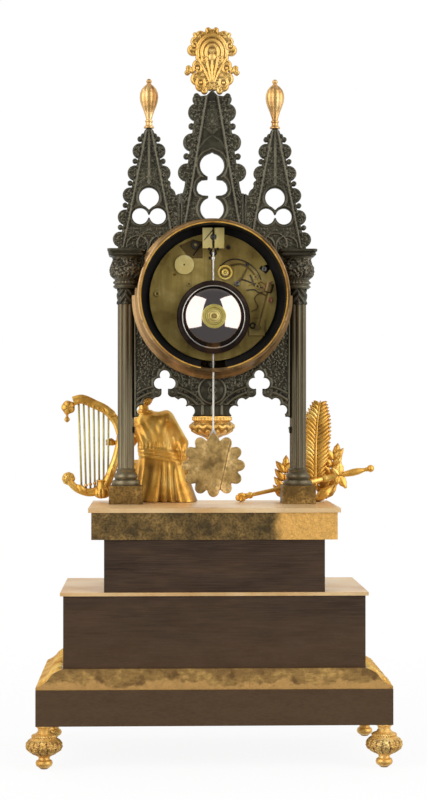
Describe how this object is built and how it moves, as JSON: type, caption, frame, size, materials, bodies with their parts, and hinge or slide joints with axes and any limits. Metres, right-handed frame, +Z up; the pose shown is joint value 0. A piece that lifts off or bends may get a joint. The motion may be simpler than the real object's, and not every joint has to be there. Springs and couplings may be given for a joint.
{
  "type": "table clock",
  "caption": "Gothic table clock: pierced facade with gables and columns on a stepped base, harpist and trophy, striking movement with bell and silk-hung pendulum.",
  "frame": {"origin": "middle of the base, on the surface that the feet stand on", "axes": "+Z up; the dial faces -Y and the open back of the movement faces +Y; +X is the harp's side"},
  "size_m": [0.2984, 0.1674, 0.5976],
  "materials": {
    "gilt": "fire-gilt bronze, chased, with matt grounds and burnished ridges",
    "gilt_plate": "gilt plate, softly brushed and worn",
    "gilt_rough": "gilt or raw cast brass, unpolished on the rear",
    "patina": "brown-black patinated sheet bronze with faint brush lines",
    "dark_bronze": "dark patinated cast bronze, chased in low relief",
    "iron": "forged iron",
    "steel": "polished steel, slightly tarnished",
    "blued_steel": "blued steel",
    "glass": "clear flat glass",
    "enamel": "white enamel on copper",
    "plate_brass": "olive tarnished brass",
    "brass": "polished brass",
    "bell_metal": "polished silvery bell metal with a dark rim",
    "silk": "twisted silk thread"
  },
  "bodies": {
    "root": {"feet": "gilt", "plinth": "patina", "base_moulding": "gilt", "lower_tier": "patina", "lower_cover": "gilt_plate", "upper_tier": "patina", "cornice": "gilt_rough", "top_plate": "gilt_plate", "tie_bar": "iron", "tie_rods": "iron", "column_blocks": "gilt", "columns": "dark_bronze", "capitals": "dark_bronze", "arcade": "dark_bronze", "centre_gable": "dark_bronze", "side_gables": "dark_bronze", "palmette": "gilt", "drop_finials": "gilt", "pendant_boss": "gilt", "drum": "gilt_rough", "bezel_seat": "gilt", "case_screws": "steel", "hinge_pin": "gilt", "dial": "enamel", "front_plate": "plate_brass", "back_plate": "plate_brass", "plate_pillars": "plate_brass", "suspension_block": "plate_brass", "silk": "silk", "minute_post": "steel", "bell": "bell_metal", "bell_stand": "plate_brass", "bell_nut": "brass", "harpist": "gilt", "harpist_head": "gilt", "harp": "gilt", "trophy": "gilt"},
    "door": {"bezel": "gilt", "glass": "glass"},
    "minute": {"cannon_pinion": "steel", "minute_hand": "blued_steel"},
    "minute_gear": {"minute_wheel": "brass"},
    "hour": {"hour_wheel": "brass", "hour_hand": "blued_steel"},
    "third": {"third_wheel": "brass"},
    "centre": {"centre_wheel": "brass"},
    "going": {"going_barrel": "brass"},
    "escape": {"escape_wheel": "brass"},
    "pins": {"pin_wheel": "brass", "locking_disc": "brass"},
    "strike_second": {"strike_wheel": "brass"},
    "strike": {"strike_barrel": "brass"},
    "fly": {"fly": "brass"},
    "going_key": {"going_winder": "steel"},
    "strike_key": {"strike_winder": "steel"},
    "regulator": {"regulator": "steel"},
    "pendulum": {"pendulum_rod": "brass", "pendulum_bob": "gilt_rough"},
    "pallets": {"pallets": "steel"},
    "hammer": {"hammer": "steel"}
  },
  "joints": [
    {"name": "door_hinge", "type": "hinge", "parent": "root", "child": "door", "pos_m": [0.0643, -0.015, 0.373], "axis": [0, 0, 1], "range_deg": [0, 100]},
    {"name": "minute_spin", "type": "hinge", "parent": "root", "child": "minute", "pos_m": [0, -0.014, 0.373], "axis": [0, 1, 0], "continuous": true},
    {"name": "minute_gear_spin", "type": "hinge", "parent": "root", "child": "minute_gear", "pos_m": [0, -0.007, 0.361], "axis": [0, 1, 0], "continuous": true},
    {"name": "hour_spin", "type": "hinge", "parent": "root", "child": "hour", "pos_m": [0, -0.012, 0.373], "axis": [0, 1, 0], "continuous": true},
    {"name": "third_spin", "type": "hinge", "parent": "root", "child": "third", "pos_m": [-0.0125, 0.012, 0.38796], "axis": [0, 1, 0], "continuous": true},
    {"name": "centre_spin", "type": "hinge", "parent": "root", "child": "centre", "pos_m": [0, 0.012, 0.373], "axis": [0, 1, 0], "continuous": true},
    {"name": "going_spin", "type": "hinge", "parent": "root", "child": "going", "pos_m": [-0.02499, 0.012, 0.36583], "axis": [0, 1, 0], "continuous": true},
    {"name": "escape_spin", "type": "hinge", "parent": "root", "child": "escape", "pos_m": [0, 0.012, 0.3955], "axis": [0, 1, 0], "continuous": true},
    {"name": "pin_spin", "type": "hinge", "parent": "root", "child": "pins", "pos_m": [0.0233, 0.012, 0.39903], "axis": [0, 1, 0], "continuous": true},
    {"name": "strike_second_spin", "type": "hinge", "parent": "root", "child": "strike_second", "pos_m": [0.03119, 0.012, 0.39108], "axis": [0, 1, 0], "continuous": true},
    {"name": "strike_spin", "type": "hinge", "parent": "root", "child": "strike", "pos_m": [0.02499, 0.012, 0.36583], "axis": [0, 1, 0], "continuous": true},
    {"name": "fly_spin", "type": "hinge", "parent": "root", "child": "fly", "pos_m": [0.02743, 0.012, 0.40617], "axis": [0, 1, 0], "continuous": true},
    {"name": "going_winding", "type": "hinge", "parent": "root", "child": "going_key", "pos_m": [-0.02499, 0.012, 0.36583], "axis": [0, 1, 0], "continuous": true},
    {"name": "strike_winding", "type": "hinge", "parent": "root", "child": "strike_key", "pos_m": [0.02499, 0.012, 0.36583], "axis": [0, 1, 0], "continuous": true},
    {"name": "regulating", "type": "hinge", "parent": "root", "child": "regulator", "pos_m": [0, 0.012, 0.421], "axis": [0, 1, 0], "continuous": true},
    {"name": "pendulum_swing", "type": "hinge", "parent": "root", "child": "pendulum", "pos_m": [0, 0.035, 0.409], "axis": [0, 1, 0], "range_deg": [-4, 4]},
    {"name": "crutch_swing", "type": "hinge", "parent": "root", "child": "pallets", "pos_m": [0, 0.012, 0.409], "axis": [0, 1, 0], "range_deg": [-4, 4]},
    {"name": "hammer_blow", "type": "hinge", "parent": "root", "child": "hammer", "pos_m": [-0.036, 0.035, 0.348], "axis": [0, 1, 0], "range_deg": [0, 33], "stiffness_Nm_per_rad": 0.02, "springref_deg": -5.73}
  ],
  "couplings": [
    {"joint": "minute_gear_spin", "follows": "minute_spin", "ratio": -0.33333},
    {"joint": "hour_spin", "follows": "minute_spin", "ratio": 0.083333},
    {"joint": "centre_spin", "follows": "third_spin", "ratio": -0.083333},
    {"joint": "going_spin", "follows": "third_spin", "ratio": 0.013889},
    {"joint": "escape_spin", "follows": "third_spin", "ratio": -12},
    {"joint": "strike_second_spin", "follows": "pin_spin", "ratio": -0.16667},
    {"joint": "strike_spin", "follows": "pin_spin", "ratio": 0.027778},
    {"joint": "fly_spin", "follows": "pin_spin", "ratio": -6.8571},
    {"joint": "crutch_swing", "follows": "pendulum_swing", "ratio": 1}
  ]
}
